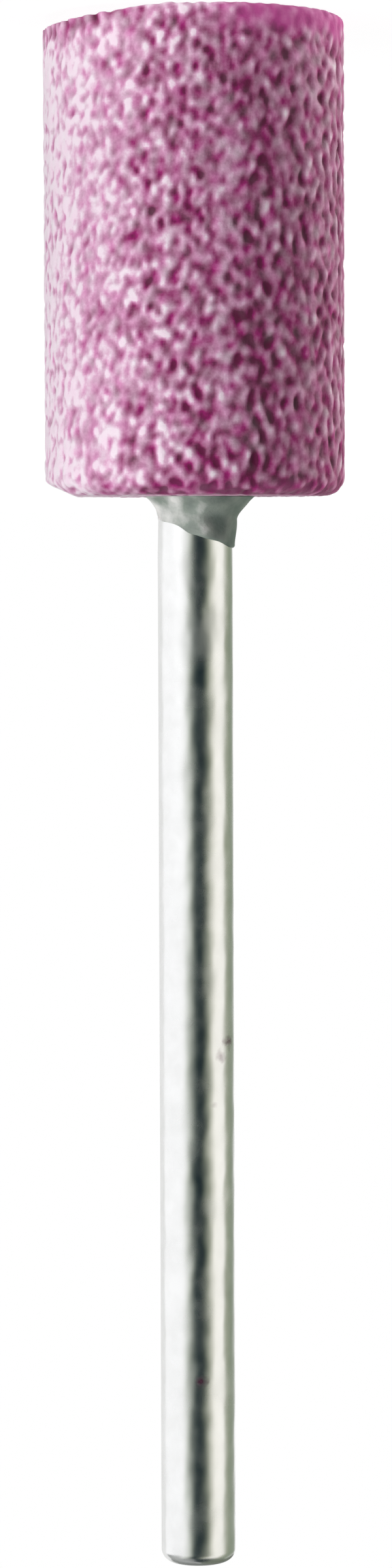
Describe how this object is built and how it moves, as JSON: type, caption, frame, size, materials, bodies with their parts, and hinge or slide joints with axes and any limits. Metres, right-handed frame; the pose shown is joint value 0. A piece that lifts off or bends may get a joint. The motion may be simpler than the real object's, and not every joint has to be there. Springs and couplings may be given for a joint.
{
  "type": "mounted point",
  "caption": "Cylindrical pink abrasive stone cemented onto a slim ground steel shank, held in a collet to grind and deburr small surfaces.",
  "frame": {"origin": "centre of the stone's front face, the flat end away from the shank", "axes": "+Z along the tool's axis, from the stone towards the free end of the shank; +X towards the worn side of the front face"},
  "size_m": [0.012, 0.012, 0.062],
  "materials": {
    "abrasive": "matte",
    "steel": "polished",
    "cement": "matte"
  },
  "bodies": {
    "root": {"stone": "abrasive", "shank": "steel", "cement": "cement"}
  },
  "joints": []
}
